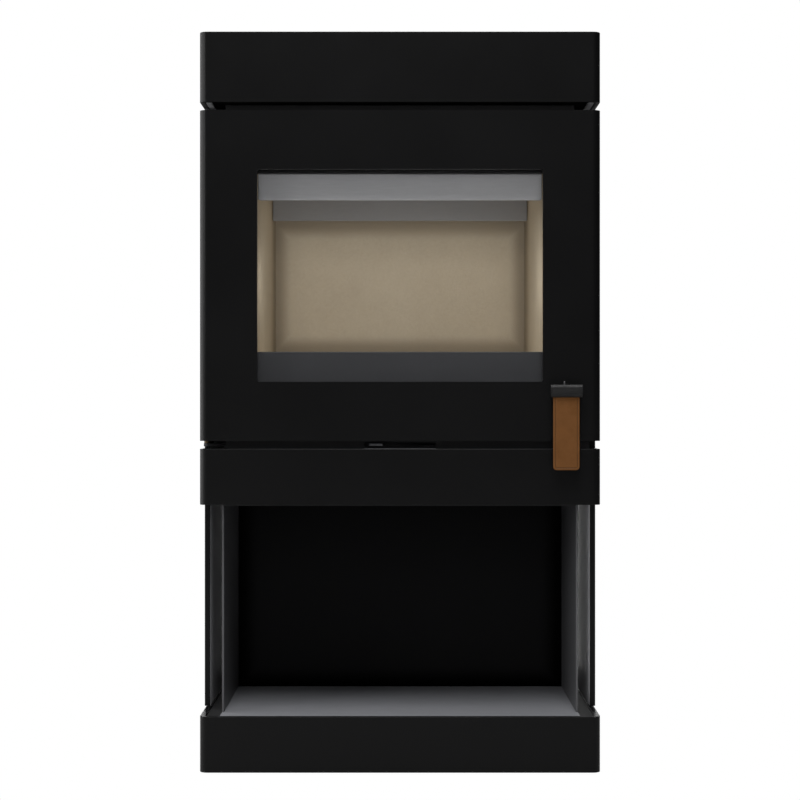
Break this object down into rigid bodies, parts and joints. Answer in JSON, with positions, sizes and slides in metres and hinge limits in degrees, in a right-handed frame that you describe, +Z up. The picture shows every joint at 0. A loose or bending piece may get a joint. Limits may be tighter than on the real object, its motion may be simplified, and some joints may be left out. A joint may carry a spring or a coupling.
{
  "type": "wood burning stove",
  "caption": "Free-standing steel wood stove: glazed side-hinged door with a leather strap handle over an open log store, under a hollow cap.",
  "frame": {"origin": "on the floor under the middle of the base plinth", "axes": "+Z up, -Y towards the front (glazed door), +X to the right as seen from the front"},
  "size_m": [0.502, 0.404, 0.927],
  "materials": {
    "painted_steel": "matt black heat-resistant paint",
    "inner_steel": "matt black paint, plain",
    "shield_steel": "grey heat-resistant paint",
    "bare_steel": "plain rolled sheet",
    "cast_iron": "fine sand-cast, matt",
    "vermiculite": "pale pressed vermiculite board",
    "glass": "clear heat-resistant ceramic glass",
    "rope": "braided glass-fibre rope",
    "fastener_steel": "dark plated steel",
    "bronze": "plain turned",
    "handle_metal": "fine textured black",
    "leather": "tan full-grain, edge-stitched"
  },
  "bodies": {
    "stove": {"base_plinth": "painted_steel", "levelling_feet": "fastener_steel", "log_store_floor": "shield_steel", "log_store_left_wall": "painted_steel", "log_store_right_wall": "painted_steel", "log_store_back": "painted_steel", "log_store_ceiling": "inner_steel", "side_panel_left": "painted_steel", "side_panel_right": "painted_steel", "rear_panel": "painted_steel", "rear_panel_screws": "fastener_steel", "lower_front_band": "painted_steel", "panel_brackets": "inner_steel", "top_cap": "painted_steel", "cap_heat_shield": "inner_steel", "edge_strips": "bare_steel", "cap_posts": "inner_steel", "chassis_plate": "inner_steel", "chassis_legs": "inner_steel", "air_box": "inner_steel", "air_spigot": "inner_steel", "air_slider_guide": "inner_steel", "firebox_front": "inner_steel", "firebox_left_wall": "inner_steel", "firebox_right_wall": "inner_steel", "firebox_back": "inner_steel", "firebox_floor": "inner_steel", "firebox_top": "inner_steel", "flue_collar": "inner_steel", "liner_left": "vermiculite", "liner_right": "vermiculite", "liner_back": "vermiculite", "liner_base": "vermiculite", "grate_support": "inner_steel", "fire_grate": "cast_iron", "ash_pan": "bare_steel", "log_retainer": "cast_iron", "air_wash_deflector": "bare_steel", "rear_air_plate": "bare_steel", "baffle_supports": "inner_steel", "upper_baffle": "vermiculite", "hinge_brackets": "inner_steel", "hinge_pins": "fastener_steel", "hinge_washers": "bronze", "latch_catch": "bare_steel"},
    "door": {"door_panel": "painted_steel", "door_inner_frame": "inner_steel", "door_glass": "glass", "glass_gasket": "rope", "glass_clips": "bare_steel", "door_rope_seal": "rope", "door_screws": "fastener_steel", "latch_tongue": "bare_steel", "handle_lug": "handle_metal"},
    "handle": {"handle_bar": "handle_metal", "handle_pin": "fastener_steel", "leather_strap": "leather", "strap_screws": "fastener_steel"},
    "air_control": {"air_slider": "bare_steel", "air_slider_cap": "bare_steel"}
  },
  "joints": [
    {"name": "door_swing", "type": "hinge", "parent": "stove", "child": "door", "pos_m": [-0.2445, -0.1345, 0.622], "axis": [0, 0, -1], "range_deg": [0, 110]},
    {"name": "handle_lift", "type": "hinge", "parent": "door", "child": "handle", "pos_m": [0.2068, -0.204, 0.479], "axis": [-1, 0, 0], "range_deg": [0, 70]},
    {"name": "air_slide", "type": "slide", "parent": "stove", "child": "air_control", "axis": [1, 0, 0], "range_m": [0, 0.064]}
  ]
}
